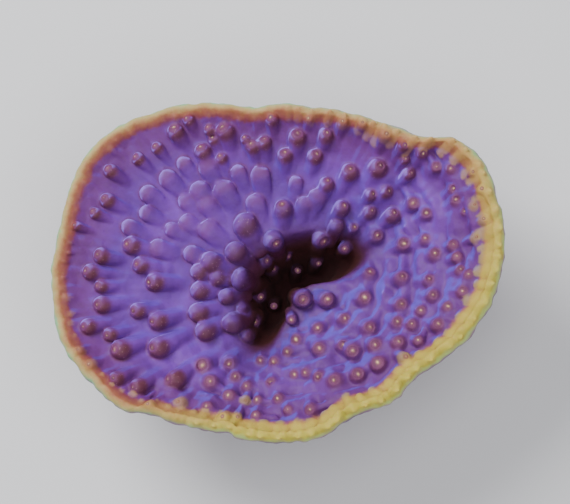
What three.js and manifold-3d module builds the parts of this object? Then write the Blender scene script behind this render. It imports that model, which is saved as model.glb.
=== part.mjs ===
import {
  BufferAttribute,
  BufferGeometry,
  CatmullRomCurve3,
  CylinderGeometry,
  Group,
  LatheGeometry,
  MathUtils,
  Mesh,
  MeshStandardMaterial,
  Quaternion,
  Vector2,
  Vector3,
} from 'three';
import { mergeVertices } from 'three/addons/utils/BufferGeometryUtils.js';
import Module from 'manifold-3d';

// A cup coral: one stony cup on a short stalk, cut off flat at the foot. Its inner face carries tube-shaped
// corallites that lean out towards a thick growing margin. Millimetres, +Z up, standing on z = 0.

// Driving dimensions. Far is the margin's side away from the viewer and near its side towards the viewer.
const CUP_WIDTH = 120;
const MARGIN_HEIGHT = 49;
const MARGIN_RISE_NEAR = 3;
const MARGIN_WAVE = 1.1;
const WAVES_AROUND = [
  { count: 3, share: 1, turned: 0.6 },
  { count: 5, share: 0.6, turned: 0 },
];
const THROAT_LIP_HEIGHT = 33;
const THROAT_LIP_RISE_FAR = 2.5;
const THROAT_DEPTH = 14;
const THROAT_SQUARENESS = 3;
const DISH_CURVE = 1.45;
const SHOULDER_ROUNDING = 5;
const LIP_RADIUS_FAR = 1.5;
const LIP_RADIUS_NEAR = 2.6;
const WALL_THICKNESS = 4.2;
const NECK_HEIGHT = 11;
const NECK_HALF_LENGTH = 18;
const NECK_HALF_WIDTH = 15;
const BASE_FLARE = 4;
const BASE_EDGE = 1.2;
const WALL_STEPS = [
  { out: 0.75, thicker: 1.05 },
  { out: 0.45, thicker: 1.25 },
  { out: 0.18, thicker: 1.75 },
];
const LIP_UNDERCUT = 0.45;
const LIP_DROP = 1.9;
const NECK_SWELL = 1.6;
const COLORS = { coral: 0x7a4fb0 };

// How the photograph looks at the cup: from above, tipped a little towards its near side.
const VIEW_TILT = MathUtils.degToRad(12);
const NEAR_BEARING = MathUtils.degToRad(-50);
const NEAR = new Vector2(Math.cos(NEAR_BEARING), Math.sin(NEAR_BEARING));
const PHOTO_MIDDLE = new Vector2(275.7, 271.5);
const CUP_WIDTH_IN_PIXELS = 461;
const MM_PER_PIXEL = CUP_WIDTH / CUP_WIDTH_IN_PIXELS;

// The margin's outer edge and the throat's lip in the photograph, in pixels, clockwise from the left.
const MARGIN_IN_PHOTO = [
  [48.5, 268], [52, 250], [56, 232], [58.5, 216], [64, 194], [71, 176], [80, 158], [92, 143.5], [108, 129.5],
  [125, 119.5], [145, 112], [166, 105], [186, 101.5], [210, 101], [230, 102.5], [252, 105], [270, 102.5],
  [290, 102], [314, 105.5], [336, 107], [362, 114], [387, 122], [410, 131.5], [424, 136], [440, 136.2],
  [455, 137], [468, 146], [480, 158.5], [490, 177], [495, 196], [501, 212], [503, 238], [501, 262],
  [495.5, 284], [487, 305], [475, 323], [462, 340], [447, 352], [431, 363.5], [421, 370], [409, 382],
  [396, 396.5], [382, 404.5], [362, 410], [346, 418], [330, 430], [311, 438], [284, 441.5], [255, 439.5],
  [236, 436], [228, 431], [205, 429], [186, 425], [165, 420], [150, 414.5], [138, 412], [126, 411.5],
  [108, 401.5], [94, 387], [78, 369.5], [64, 351], [56, 334], [52, 314], [49.5, 292],
];
const THROAT_MIDDLE_IN_PHOTO = [277, 283];
const THROAT_IN_PHOTO = [
  [240, 282], [248, 258], [266, 243], [294, 236], [326, 232], [352, 236], [366, 252], [356, 268], [334, 280],
  [308, 286], [294, 298], [284, 322], [270, 345], [254, 350], [241, 333], [237, 308],
];

// Corallites in the photograph: the middle of each calice and the width of its tube, in pixels. Each group
// leans from the wall's normal towards the margin by its own angle, and stands out by its own number of
// widths.
const CORALLITES = {
  leftSlope: {
    lean: 58, rise: 0.5, at: [
      [109, 170, 13], [106, 200, 14], [94, 213, 11], [75, 226, 9], [137, 158, 12], [156, 147, 11],
      [100, 256, 15], [89, 272, 15], [100, 286, 13], [101, 305, 16], [131, 245, 17], [140, 265, 16],
      [154, 282, 18], [137, 311, 15], [157, 321, 18], [87, 327, 15], [109, 335, 13], [120, 350, 19],
      [158, 348, 20], [116, 379, 14], [138, 387, 16], [175, 380, 19],
    ],
  },
  farSlope: {
    lean: 62, rise: 0.5, at: [
      [147, 193, 16], [146, 213, 15], [167, 178, 17], [128, 227, 15], [157, 248, 17], [171, 229, 14],
      [183, 163, 14], [207, 167, 17], [199, 190, 18], [224, 190, 20], [238, 172, 15], [260, 175, 18],
      [255, 203, 18], [185, 201, 15], [207, 205, 17], [186, 222, 15], [208, 230, 19], [191, 254, 16],
      [296, 182, 13], [317, 197, 16], [304, 204, 15],
    ],
  },
  topSlope: {
    lean: 45, rise: 0.55, at: [
      [188, 119, 11], [175, 131, 15], [209, 129, 11], [213, 139, 10], [225, 131, 17], [202, 151, 15],
      [221, 158, 11], [245, 139, 9], [253, 146, 13], [264, 142, 13], [272, 119, 12], [283, 209, 17],
      [297, 137, 16], [326, 135, 14], [285, 155, 14], [315, 156, 14], [350, 172, 16], [378, 168, 17],
      [405, 159, 9], [409, 173, 12], [327, 184, 14], [371, 194, 12], [386, 191, 13], [342, 208, 15],
      [370, 212, 13], [393, 215, 15], [404, 145, 12],
    ],
  },
  shoulder: {
    lean: 52, rise: 0.6, at: [
      [245, 225, 22], [235, 252, 19], [240, 279, 20], [226, 297, 15], [241, 309, 16], [232, 324, 19],
      [246, 336, 15], [198, 272, 15], [210, 262, 19], [217, 278, 15], [199, 291, 17], [198, 313, 18],
      [205, 331, 19], [337, 226, 14],
    ],
  },
  throat: {
    lean: 30, rise: 0.5, at: [
      [273, 240, 19], [271, 268, 14], [297, 271, 13], [318, 262, 13], [346, 247, 13], [321, 238, 17],
      [303, 299, 19], [327, 300, 17], [292, 320, 12],
    ],
  },
  rightSlope: {
    lean: 42, rise: 0.5, at: [
      [422, 152, 12], [437, 167, 11], [451, 169, 11], [454, 189, 11], [457, 201, 13], [465, 212, 9],
      [414, 203, 14], [427, 214, 13], [426, 240, 13], [404, 245, 15], [453, 246, 12], [377, 236, 15],
      [354, 228, 10], [435, 255, 15], [457, 258, 12], [370, 275, 14], [402, 279, 16], [460, 271, 11],
      [468, 275, 11], [429, 281, 14], [433, 296, 14], [364, 299, 17], [401, 305, 16], [462, 292, 13],
      [421, 311, 12], [447, 307, 11],
    ],
  },
  nearSlope: {
    lean: 42, rise: 0.5, at: [
      [344, 320, 14], [397, 323, 14], [412, 325, 13], [437, 325, 14], [369, 329, 17], [398, 343, 15],
      [418, 341, 11], [343, 346, 14], [353, 351, 17], [375, 346, 16], [378, 364, 16], [357, 375, 15],
      [335, 381, 16], [319, 377, 13], [307, 373, 12], [295, 375, 11], [319, 349, 16], [297, 340, 13],
      [288, 352, 12], [318, 329, 14], [275, 362, 13], [261, 361, 11], [229, 364, 16], [235, 378, 13],
      [203, 366, 18], [210, 383, 16], [247, 387, 12], [272, 383, 12], [229, 397, 14], [258, 401, 10],
      [279, 399, 12], [288, 410, 10], [311, 409, 13], [256, 416, 11], [207, 408, 13],
    ],
  },
  margin: {
    lean: 50, rise: 0.4, at: [
      [309, 118, 9], [343, 122, 11], [363, 123, 10], [386, 134, 14], [473, 172, 9], [482, 190, 10],
      [475, 206, 10], [484, 220, 11], [476, 238, 10], [404, 358, 12], [245, 401, 9], [237, 417, 9],
      [225, 418, 12], [180, 404, 12], [150, 405, 9], [78, 351, 9], [90, 365, 10],
    ],
  },
};
const CORALLITE_SIDES = 5;
const PLACING_PASSES = 6;
const CORALLITE_TAPER = 0.8;
const CORALLITE_ROOT = 1.2;
const NARROWEST_CORALLITE = 3.1;

// How the wall is sampled
const AZIMUTHS = 64;
const CURVE_SAMPLES = 720;
const THROAT_ROWS = [0.45, 0.75, 1];
const DISH_ROWS = [0.12, 0.28, 0.46, 0.64, 0.8, 0.93];
const LIP_ANGLES = [100, 50, 0, -50].map(MathUtils.degToRad);
const OUTSIDE_ROWS = 8;

// A point of the photograph, moved to the place on the cup that has the given height.
function fromPhoto(x, y, height) {
  const seen = new Vector2(x - PHOTO_MIDDLE.x, PHOTO_MIDDLE.y - y).multiplyScalar(MM_PER_PIXEL);
  const along = seen.dot(NEAR);
  const drop = (height - MARGIN_HEIGHT) * Math.sin(VIEW_TILT);
  return seen.addScaledVector(NEAR, (along + drop) / Math.cos(VIEW_TILT) - along);
}

function nearness(azimuth) {
  return Math.cos(azimuth - NEAR_BEARING);
}

function marginHeight(azimuth) {
  const waves = WAVES_AROUND.map(({ count, share, turned }) => share * Math.sin(count * azimuth + turned));
  const wave = waves.reduce((sum, height) => sum + height, 0);
  return MARGIN_HEIGHT + MARGIN_RISE_NEAR * nearness(azimuth) + MARGIN_WAVE * wave;
}

function throatLipHeight(azimuth) {
  return THROAT_LIP_HEIGHT - THROAT_LIP_RISE_FAR * nearness(azimuth);
}

function lipRadius(azimuth) {
  return MathUtils.lerp(LIP_RADIUS_FAR, LIP_RADIUS_NEAR, (1 + nearness(azimuth)) / 2);
}

// A closed curve through points that go once around the axis, as a function from azimuth to distance.
function reachAround(axis, points) {
  const curve = new CatmullRomCurve3(points.map((p) => new Vector3(p.x, p.y, 0)), true, 'centripetal');
  const samples = curve.getPoints(CURVE_SAMPLES).map((p) => {
    const arm = new Vector2(p.x, p.y).sub(axis);
    return { azimuth: MathUtils.euclideanModulo(arm.angle(), 2 * Math.PI), reach: arm.length() };
  });
  samples.sort((a, b) => a.azimuth - b.azimuth);
  return (azimuth) => {
    const turn = MathUtils.euclideanModulo(azimuth, 2 * Math.PI);
    const next = samples.findIndex((s) => s.azimuth >= turn);
    const after = samples[Math.max(next, 0)];
    const before = samples[next > 0 ? next - 1 : samples.length - 1];
    const gap = MathUtils.euclideanModulo(after.azimuth - before.azimuth, 2 * Math.PI);
    const part = gap > 0 ? MathUtils.euclideanModulo(turn - before.azimuth, 2 * Math.PI) / gap : 0;
    return MathUtils.lerp(before.reach, after.reach, part);
  };
}

function azimuthInPhoto([x, y]) {
  return Math.atan2(THROAT_MIDDLE_IN_PHOTO[1] - y, x - THROAT_MIDDLE_IN_PHOTO[0]);
}

const cupAxis = fromPhoto(...THROAT_MIDDLE_IN_PHOTO, THROAT_LIP_HEIGHT);
const marginPoints = MARGIN_IN_PHOTO.map((p) => fromPhoto(...p, marginHeight(azimuthInPhoto(p))));
const throatPoints = THROAT_IN_PHOTO.map((p) => fromPhoto(...p, throatLipHeight(azimuthInPhoto(p))));
const marginReach = reachAround(cupAxis, marginPoints);
const throatReach = reachAround(cupAxis, throatPoints);

// The smaller of two heights, with the corner between them rounded.
function softMin(a, b, rounding) {
  const share = MathUtils.clamp(0.5 + (b - a) / (2 * rounding), 0, 1);
  return MathUtils.lerp(b, a, share) - rounding * share * (1 - share);
}

// Height of the cup's inner face: a steep throat inside its lip, a rising dish outside it.
function dishHeight(azimuth, distance) {
  const throat = throatReach(azimuth);
  const out = MathUtils.clamp((distance - throat) / (marginReach(azimuth) - throat), 0, 1);
  const low = throatLipHeight(azimuth);
  return low + (marginHeight(azimuth) - low) * out ** DISH_CURVE;
}

function cupHeight(azimuth, distance) {
  const low = throatLipHeight(azimuth);
  const floor = THROAT_LIP_HEIGHT - THROAT_DEPTH;
  const inner = floor + (low - floor) * (distance / throatReach(azimuth)) ** THROAT_SQUARENESS;
  return softMin(inner, dishHeight(azimuth, distance), SHOULDER_ROUNDING);
}

// The stalk's cross-section is an oval, long the same way as the throat.
function stalkReach(azimuth, flare) {
  const turned = azimuth - NEAR_BEARING;
  const wide = Math.cos(turned) / (NECK_HALF_WIDTH + flare);
  const long = Math.sin(turned) / (NECK_HALF_LENGTH + flare);
  return 1 / Math.hypot(wide, long);
}

// The outside of the cup at one azimuth, from the margin down to the foot, as distances and heights.
function outsideCurve(azimuth) {
  const throat = throatReach(azimuth);
  const margin = marginReach(azimuth);
  const lip = lipRadius(azimuth);
  const wall = WALL_STEPS.map(({ out, thicker }) => {
    const distance = MathUtils.lerp(Math.max(throat, stalkReach(azimuth, 0)), margin, out);
    return new Vector3(distance, 0, dishHeight(azimuth, distance) - WALL_THICKNESS * thicker);
  });
  return new CatmullRomCurve3([
    new Vector3(margin - lip * LIP_UNDERCUT, 0, marginHeight(azimuth) - lip * LIP_DROP),
    ...wall,
    new Vector3(stalkReach(azimuth, NECK_SWELL), 0, (NECK_HEIGHT + THROAT_LIP_HEIGHT) / 2),
    new Vector3(stalkReach(azimuth, 0), 0, NECK_HEIGHT),
    new Vector3(stalkReach(azimuth, BASE_FLARE), 0, BASE_EDGE),
  ], false, 'centripetal');
}

// One section of the wall: throat floor, inner face, rounded lip, outside and foot, turned to run from the
// foot up.
function wallSection(azimuth) {
  const throat = throatReach(azimuth);
  const margin = marginReach(azimuth);
  const lip = lipRadius(azimuth);
  const lipMiddle = new Vector2(margin - lip, marginHeight(azimuth) - lip);
  const section = [new Vector2(0, THROAT_LIP_HEIGHT - THROAT_DEPTH)];
  for (const part of THROAT_ROWS) {
    section.push(new Vector2(throat * part, cupHeight(azimuth, throat * part)));
  }
  for (const part of DISH_ROWS) {
    const distance = MathUtils.lerp(throat, margin - lip, part);
    section.push(new Vector2(distance, cupHeight(azimuth, distance)));
  }
  for (const angle of LIP_ANGLES) {
    section.push(new Vector2(Math.cos(angle), Math.sin(angle)).multiplyScalar(lip).add(lipMiddle));
  }
  for (const point of outsideCurve(azimuth).getPoints(OUTSIDE_ROWS - 1)) {
    section.push(new Vector2(point.x, point.z));
  }
  section.push(new Vector2(stalkReach(azimuth, BASE_FLARE), 0));
  section.push(new Vector2(0, 0));
  return section.reverse();
}

// The cup is a lathed wall whose rings are then pulled out to the real margin, throat and foot.
function cupWall() {
  const section = wallSection(0);
  const geometry = new LatheGeometry(section, AZIMUTHS);
  const position = geometry.getAttribute('position');
  for (let step = 0; step <= AZIMUTHS; step += 1) {
    const azimuth = ((step % AZIMUTHS) / AZIMUTHS) * 2 * Math.PI;
    wallSection(azimuth).forEach((point, row) => {
      const x = cupAxis.x + point.x * Math.cos(azimuth);
      const y = cupAxis.y + point.x * Math.sin(azimuth);
      position.setXYZ(step * section.length + row, x, y, point.y);
    });
  }
  return geometry;
}

function heightAt(place) {
  const arm = place.clone().sub(cupAxis);
  return cupHeight(arm.angle(), arm.length());
}

// Unit vectors at a place on the inner face: straight out of the wall, and uphill along it.
function wallDirections(place) {
  const step = 0.5;
  const beside = (x, y) => heightAt(new Vector2(place.x + x, place.y + y));
  const slopeX = beside(step, 0) - beside(-step, 0);
  const slopeY = beside(0, step) - beside(0, -step);
  const normal = new Vector3(-slopeX, -slopeY, 2 * step).normalize();
  const outward = place.clone().sub(cupAxis).normalize();
  const uphill = new Vector3(outward.x, outward.y, 0).projectOnPlane(normal).normalize();
  return { normal, uphill };
}

// A corallite as a tapered stud from inside the wall to the middle of its calice.
function corallite([x, y, widthInPhoto], { lean, rise }) {
  const width = widthInPhoto * MM_PER_PIXEL;
  const standing = rise * width;
  let tip = fromPhoto(x, y, MARGIN_HEIGHT);
  for (let pass = 0; pass < PLACING_PASSES; pass += 1) {
    tip = fromPhoto(x, y, heightAt(tip) + standing);
  }
  const { normal, uphill } = wallDirections(tip);
  const angle = MathUtils.degToRad(lean);
  const axis = normal.multiplyScalar(Math.cos(angle)).addScaledVector(uphill, Math.sin(angle));
  const length = standing / Math.cos(angle) + CORALLITE_ROOT;
  const geometry = new CylinderGeometry((width * CORALLITE_TAPER) / 2, width / 2, length, CORALLITE_SIDES);
  geometry.translate(0, -length / 2, 0);
  geometry.applyQuaternion(new Quaternion().setFromUnitVectors(new Vector3(0, 1, 0), axis));
  return geometry.translate(tip.x, tip.y, heightAt(tip) + standing);
}

const wasm = await Module();
wasm.setup();

function toSolid(geometry) {
  geometry.deleteAttribute('normal');
  geometry.deleteAttribute('uv');
  const merged = mergeVertices(geometry);
  return new wasm.Manifold(new wasm.Mesh({
    numProp: 3,
    vertProperties: merged.getAttribute('position').array,
    triVerts: merged.getIndex().array,
  }));
}

function toGeometry(solid) {
  const mesh = solid.getMesh();
  const geometry = new BufferGeometry();
  geometry.setAttribute('position', new BufferAttribute(mesh.vertProperties, 3));
  geometry.setIndex(new BufferAttribute(mesh.triVerts, 1));
  geometry.computeVertexNormals();
  return geometry;
}

function cupCoral() {
  let solid = toSolid(cupWall());
  for (const group of Object.values(CORALLITES)) {
    for (const reading of group.at.filter(([, , width]) => width * MM_PER_PIXEL > NARROWEST_CORALLITE)) {
      solid = solid.add(toSolid(corallite(reading, group)));
    }
  }
  const geometry = toGeometry(solid);
  geometry.computeBoundingBox();
  const middle = geometry.boundingBox.getCenter(new Vector3());
  geometry.translate(-middle.x, -middle.y, 0);
  const material = new MeshStandardMaterial({ color: COLORS.coral, roughness: 0.6, metalness: 0 });
  const mesh = new Mesh(geometry, material);
  mesh.name = 'cup_coral';
  return mesh;
}

const group = new Group();
group.name = 'cup_coral_part';
group.add(cupCoral());

export default group;
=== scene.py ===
import math

import bpy
import numpy as np
import openvdb
from mathutils import Matrix, Vector, noise


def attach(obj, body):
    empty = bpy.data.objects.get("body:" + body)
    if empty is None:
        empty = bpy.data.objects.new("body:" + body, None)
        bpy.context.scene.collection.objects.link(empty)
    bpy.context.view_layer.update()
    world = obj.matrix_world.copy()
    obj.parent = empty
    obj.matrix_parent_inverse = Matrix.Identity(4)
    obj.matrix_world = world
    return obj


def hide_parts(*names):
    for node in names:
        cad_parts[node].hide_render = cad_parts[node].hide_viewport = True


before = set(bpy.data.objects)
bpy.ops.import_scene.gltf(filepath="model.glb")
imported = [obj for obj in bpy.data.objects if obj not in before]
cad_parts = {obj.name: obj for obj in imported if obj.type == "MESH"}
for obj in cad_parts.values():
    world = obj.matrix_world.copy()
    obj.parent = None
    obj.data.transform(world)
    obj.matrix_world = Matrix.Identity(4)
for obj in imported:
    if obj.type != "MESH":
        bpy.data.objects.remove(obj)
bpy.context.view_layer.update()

# A cup coral seen from above: a stony cup on a short cut stalk, purple inside, with a pale growing margin and
# tube-shaped corallites that lean out towards it. Sizes are in millimetres until a mesh is made.
MM = 0.001
TURN = 2 * math.pi

# Sizes of the cup
CUP_WIDTH = 120
MARGIN_HEIGHT = 49
MARGIN_RISE_NEAR = 3
MARGIN_WAVE = 1.1
THROAT_LIP_HEIGHT = 33
THROAT_LIP_RISE_FAR = 2.5
THROAT_DEPTH = 14
THROAT_SQUARENESS = 3
DISH_CURVE = 1.45
SHOULDER_ROUNDING = 5
LIP_RADIUS_FAR = 1.5
LIP_RADIUS_NEAR = 2.6
LIP_FILLET = 5
NEAR_FILLET_SHARE = 0.4
WALL_THICKNESS = 4.2
NECK_HEIGHT = 11
NECK_HALF_LENGTH = 18
NECK_HALF_WIDTH = 15
BASE_FLARE = 4
BASE_EDGE = 1.2

# Relief of the wall: how many waves go round the cup, and how far apart things are
RIBS_AROUND = 118
BROAD_RIBS_AROUND = 77
KNOB_WAVES_AROUND = 46
RING_SPACING = 5.5
WEB_WIDTH = 4.5
PLEATS_PER_RADIAN = 4.5
PLEAT_WIDTH = 3.4

# How far the relief stands out, and how far a pleat sinks in, as a share of its height
RIB_HEIGHT = 0.08
OUTSIDE_RIB_HEIGHT = 0.2
RING_HEIGHT = 0.28
WEB_HEIGHT = 0.6
PLEAT_HEIGHT = 2.2
PLEAT_SINK = 0.35
KNOB_HEIGHT = 0.9
LIP_LUMP_HEIGHT = 0.4

# How the photograph looks at the cup: from above, tipped a little towards its near side
VIEW_TILT = math.radians(12)
NEAR_BEARING = math.radians(-50)
NEAR = np.array([math.cos(NEAR_BEARING), math.sin(NEAR_BEARING)])
PHOTO_SIZE = (570, 504)
PHOTO_MIDDLE = np.array([275.7, 271.5])
CUP_WIDTH_IN_PIXELS = 461
MM_PER_PIXEL = CUP_WIDTH / CUP_WIDTH_IN_PIXELS

# The margin's outer edge and the throat's lip in the photograph, in pixels, clockwise from the left
MARGIN_IN_PHOTO = [
    [48.5, 268], [52, 250], [56, 232], [58.5, 216], [64, 194], [71, 176], [80, 158], [92, 143.5],
    [108, 129.5], [125, 119.5], [145, 112], [166, 105], [186, 101.5], [210, 101], [230, 102.5], [252, 105],
    [270, 102.5], [290, 102], [314, 105.5], [336, 107], [362, 114], [387, 122], [410, 131.5], [424, 136],
    [440, 136.2], [455, 137], [468, 146], [480, 158.5], [490, 177], [495, 196], [501, 212], [503, 238],
    [501, 262], [495.5, 284], [487, 305], [475, 323], [462, 340], [447, 352], [431, 363.5], [421, 370],
    [409, 382], [396, 396.5], [382, 404.5], [362, 410], [346, 418], [330, 430], [311, 438], [284, 441.5],
    [255, 439.5], [236, 436], [228, 431], [205, 429], [186, 425], [165, 420], [150, 414.5], [138, 412],
    [126, 411.5], [108, 401.5], [94, 387], [78, 369.5], [64, 351], [56, 334], [52, 314], [49.5, 292],
]
THROAT_MIDDLE_IN_PHOTO = [277, 283]
THROAT_IN_PHOTO = [
    [240, 282], [248, 258], [266, 243], [294, 236], [326, 232], [352, 236], [366, 252], [356, 268],
    [334, 280], [308, 286], [294, 298], [284, 322], [270, 345], [254, 350], [241, 333], [237, 308],
]

# Corallites in the photograph, by the part of the cup they stand on: the middle of each one's rounded head
# and its width, in pixels. The settings of a part:
# swell: how much wider the heads are made than they were read, as a factor
# lean: of the calices from the wall's normal towards the margin, in degrees
# lift: height of the heads' middles over the wall, in widths
# flat: height of the heads as a share of their width
# base: rounding between head and wall, in radii
# mouth: size of the calices, in radii, 0 where only the backs show
# tail, tail_width: length in widths and end, in radii, of the tails that run down to the throat
# fold: length of the folds that run along the margin, in widths
# lee_shade, gold, pale: shares of painted shade in brown on the heads' lee side from the light, which also
# places painted glints, gold in the calices' middles and cream on the heads
CORALLITES = {
    "left slope": dict(
        swell=1.1, lean=54, lift=0.2, flat=0.85, base=0.3, mouth=0.34, tail=1.9, tail_width=0.5,
        fold=0, lee_shade=1.0, gold=0.55, pale=0, at=[
        [109, 170, 13], [106, 200, 14], [94, 213, 11], [75, 226, 9], [137, 158, 12], [156, 147, 11],
        [100, 256, 15], [89, 272, 15], [100, 286, 13], [101, 305, 16], [131, 245, 17], [140, 265, 16],
        [154, 282, 18], [137, 311, 15], [157, 321, 18], [87, 327, 15], [109, 335, 13], [120, 350, 19],
        [158, 348, 20], [116, 379, 14], [138, 387, 16], [175, 380, 19],
    ]),
    "far slope": dict(
        swell=1.14, lean=90, lift=0.15, flat=0.42, base=0.12, mouth=0, tail=1.0, tail_width=0.8,
        fold=0, lee_shade=0.12, gold=0, pale=0, at=[
        [147, 193, 16], [146, 213, 15], [167, 178, 17], [128, 227, 15], [157, 248, 17], [171, 229, 14],
        [183, 163, 14], [207, 167, 17], [199, 190, 18], [224, 190, 20], [238, 172, 15], [260, 175, 18],
        [255, 203, 18], [185, 201, 15], [207, 205, 17], [186, 222, 15], [208, 230, 19], [191, 254, 16],
        [296, 182, 13], [317, 197, 16], [304, 204, 15],
    ]),
    "top slope": dict(
        swell=1.1, lean=56, lift=0.2, flat=0.9, base=0.4, mouth=0.42, tail=1.3, tail_width=0.6,
        fold=0, lee_shade=0.9, gold=0.75, pale=0, at=[
        [188, 119, 11], [175, 131, 15], [209, 129, 11], [213, 139, 10], [225, 131, 17], [202, 151, 15],
        [221, 158, 11], [245, 139, 9], [253, 146, 13], [264, 142, 13], [272, 119, 12], [283, 209, 17],
        [297, 137, 16], [326, 135, 14], [285, 155, 14], [315, 156, 14], [350, 172, 16], [378, 168, 17],
        [405, 159, 9], [409, 173, 12], [327, 184, 14], [371, 194, 12], [386, 191, 13], [342, 208, 15],
        [370, 212, 13], [393, 215, 15], [404, 145, 12],
    ]),
    "shoulder": dict(
        swell=1.15, lean=90, lift=0.22, flat=0.7, base=0.15, mouth=0, tail=0.9, tail_width=0.85,
        fold=0, lee_shade=1.0, gold=0, pale=0, at=[
        [245, 225, 22], [235, 252, 19], [240, 279, 20], [226, 297, 15], [241, 309, 16], [232, 324, 19],
        [246, 336, 15], [198, 272, 15], [210, 262, 19], [217, 278, 15], [199, 291, 17], [198, 313, 18],
        [205, 331, 19], [337, 226, 14],
    ]),
    "throat": dict(
        swell=1.05, lean=30, lift=0.4, flat=1, base=0.3, mouth=0.55, tail=0.8, tail_width=0.9,
        fold=0, lee_shade=0.5, gold=1.0, pale=0, at=[
        [273, 240, 19], [271, 268, 14], [297, 271, 13], [318, 262, 13], [346, 247, 13], [321, 238, 17],
        [303, 299, 19], [327, 300, 17], [292, 320, 12], [287, 255, 10], [262, 258, 15], [252, 322, 15],
        [274, 306, 13], [258, 296, 14],
    ]),
    "right slope": dict(
        swell=1.0, lean=38, lift=0.16, flat=1, base=0.7, mouth=0.6, tail=0.9, tail_width=0.8,
        fold=1.5, lee_shade=0.5, gold=1.0, pale=0, at=[
        [422, 152, 12], [437, 167, 11], [451, 169, 11], [454, 189, 11], [457, 201, 13], [465, 212, 9],
        [414, 203, 14], [427, 214, 13], [426, 240, 13], [404, 245, 15], [453, 246, 12], [377, 236, 15],
        [354, 228, 10], [435, 255, 15], [457, 258, 12], [370, 275, 14], [402, 279, 16], [460, 271, 11],
        [468, 275, 11], [429, 281, 14], [433, 296, 14], [364, 299, 17], [401, 305, 16], [462, 292, 13],
        [421, 311, 12], [447, 307, 11],
    ]),
    "near slope": dict(
        swell=1.0, lean=34, lift=0.18, flat=1, base=0.7, mouth=0.6, tail=0.8, tail_width=0.8,
        fold=1.8, lee_shade=0.5, gold=1.0, pale=0, at=[
        [344, 320, 14], [397, 323, 14], [412, 325, 13], [437, 325, 14], [369, 329, 17], [398, 343, 15],
        [418, 341, 11], [343, 346, 14], [353, 351, 17], [375, 346, 16], [378, 364, 16], [357, 375, 15],
        [335, 381, 16], [319, 377, 13], [307, 373, 12], [295, 375, 11], [319, 349, 16], [297, 340, 13],
        [288, 352, 12], [318, 329, 14], [275, 362, 13], [261, 361, 11], [229, 364, 16], [235, 378, 13],
        [203, 366, 18], [210, 383, 16], [247, 387, 12], [272, 383, 12], [229, 397, 14], [258, 401, 10],
        [279, 399, 12], [288, 410, 10], [311, 409, 13], [256, 416, 11], [207, 408, 13],
    ]),
    "margin": dict(
        swell=1.1, lean=40, lift=0.14, flat=1, base=0.5, mouth=0.4, tail=1.2, tail_width=0.7,
        fold=0, lee_shade=0.4, gold=0.8, pale=0.7, at=[
        [309, 118, 9], [343, 122, 11], [363, 123, 10], [386, 134, 14], [473, 172, 9], [482, 190, 10],
        [475, 206, 10], [484, 220, 11], [476, 238, 10], [404, 358, 12], [245, 401, 9], [237, 417, 9],
        [225, 418, 12], [180, 404, 12], [150, 405, 9], [78, 351, 9], [90, 365, 10],
    ]),
}

# Shape of one corallite, in radii of its head
CALICE_DEPTH = 0.27
TAIL_BELOW_WALL = 0.95
FOLD_BELOW_HEAD = 0.3
FOLD_BELOW_WALL = 0.5
FOLD_START = 0.75
FOLD_END = 0.5
FOLD_ROUNDING = 0.5
FLOOR_BELOW_RIM = 0.09
FLOOR_THICKNESS = 0.5
SEPTUM_HEIGHT = 0.05
COLUMELLA_HEIGHT = 0.13

# The floor of one calice: its septa, and its rings of points from the middle to the edge and back under it
SEPTA = 12
FLOOR_SPOKES = 36
FLOOR_RINGS = [0.02, 0.1, 0.18, 0.3, 0.45, 0.62, 0.8, 0.93, 1.0, 0.9, 0.02]
FLOOR_DROPS = [0, 0, 0, 0, 0, 0, 0, 0, FLOOR_THICKNESS / 2, FLOOR_THICKNESS, FLOOR_THICKNESS]
FLOOR_OVERLAP = 1.04

# Rounding of a calice's rim
RIM_ROUNDING = 0.12

# How much the corallites differ in lean, in degrees, and in how far they turn sideways, as a slope
LEAN_SCATTER = 16
SIDEWAYS_SCATTER = 0.5

# Where the young corallites crowd the margin most
CROWDED_BEARING = math.radians(45)

# The side that the light comes from, in plan
LIGHT_BEARING = math.radians(132)
SUNNY = np.array([math.cos(LIGHT_BEARING), math.sin(LIGHT_BEARING), 0])

# How finely things are made
VOXEL = 0.28
BAND_VOXELS = 8
PAD_VOXELS = 10
AZIMUTHS = 1000
THROAT_ROWS = 60
DISH_ROWS = 170
LIP_ROWS = 30
OUTSIDE_ROWS = 170
FACES_AT_MOST = 196000
EVENNESS = 4e-6

# The studio and the camera, in metres and watts
FLOOR_HALF_WIDTH = 3.0
KEY_LIGHT = dict(place=(-0.35, 0.389, 0.7), size=0.5, watts=8)
SOFT_LIGHT = dict(place=(0.2, -0.2, 1.0), size=0.9, watts=6)
LIGHTS_AIM = (0, 0, 0.04)
SKY_COLOR = (0.9, 0.93, 1.0, 1)
SKY_STRENGTH = 0.42
CAMERA_DISTANCE = 1.5


def clamp01(value):
    return np.clip(value, 0.0, 1.0)


def smooth_step(low, high, value):
    share = clamp01((value - low) / (high - low))
    return share * share * (3 - 2 * share)


def soft_min(a, b, rounding):
    """The smaller of two values, with the corner between them rounded."""
    share = clamp01(0.5 + (b - a) / (2 * rounding))
    return b + (a - b) * share - rounding * share * (1 - share)


def from_photo(x, y, height):
    """Where on the cup, in plan, the photograph's pixel x, y falls on something of this height."""
    seen = np.array([x - PHOTO_MIDDLE[0], PHOTO_MIDDLE[1] - y]) * MM_PER_PIXEL
    along = seen @ NEAR
    drop = (height - MARGIN_HEIGHT) * math.sin(VIEW_TILT)
    return seen + ((along + drop) / math.cos(VIEW_TILT) - along) * NEAR


def nearness(azimuth):
    return np.cos(azimuth - NEAR_BEARING)


def margin_height(azimuth):
    waves = np.sin(3 * azimuth + 0.6) + 0.6 * np.sin(5 * azimuth)
    return MARGIN_HEIGHT + MARGIN_RISE_NEAR * nearness(azimuth) + MARGIN_WAVE * waves


def throat_lip_height(azimuth):
    return THROAT_LIP_HEIGHT - THROAT_LIP_RISE_FAR * nearness(azimuth)


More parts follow.
